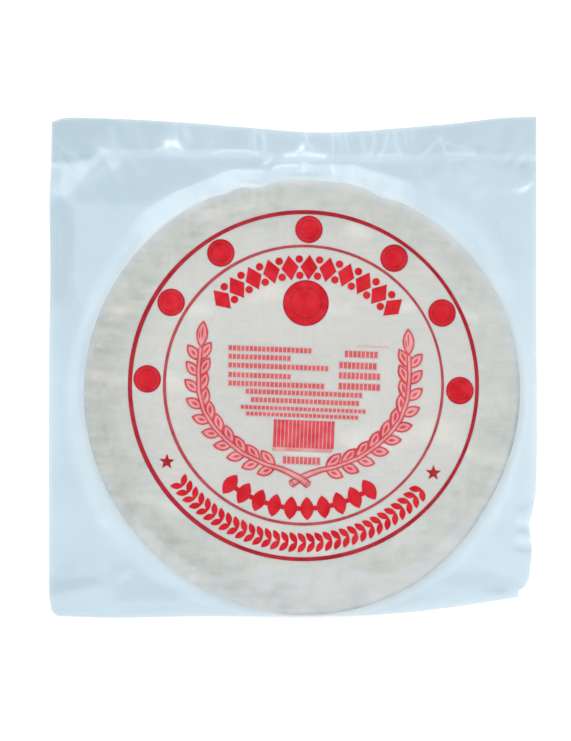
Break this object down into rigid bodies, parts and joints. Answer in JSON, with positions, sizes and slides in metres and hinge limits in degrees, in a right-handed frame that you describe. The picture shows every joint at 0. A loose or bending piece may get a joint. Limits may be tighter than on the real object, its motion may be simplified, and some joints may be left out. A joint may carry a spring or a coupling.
{
  "type": "rice paper wrapper stack",
  "caption": "Flat heat-sealed clear bag holding a round stack of thin dried rice papers for rolling, with a red ring print on its face; it lies on its back.",
  "frame": {"origin": "middle of the bottom of the bounding box, on the surface the pack lies on", "axes": "+Z out of the printed face, which is up; +Y towards the heat-sealed header; +X to the right of the printed face"},
  "size_m": [0.246, 0.253, 0.008],
  "materials": {
    "bag_film": "thin clear packing film with a pale cool cast, glossy, softly creased",
    "rice_paper": "thin off-white dried rice sheet, matt, faint woven drying-mat imprint",
    "red_print": "crimson ink printed on the front film, satin"
  },
  "bodies": {
    "root": {"sealed_bag": "bag_film"}
  },
  "joints": []
}
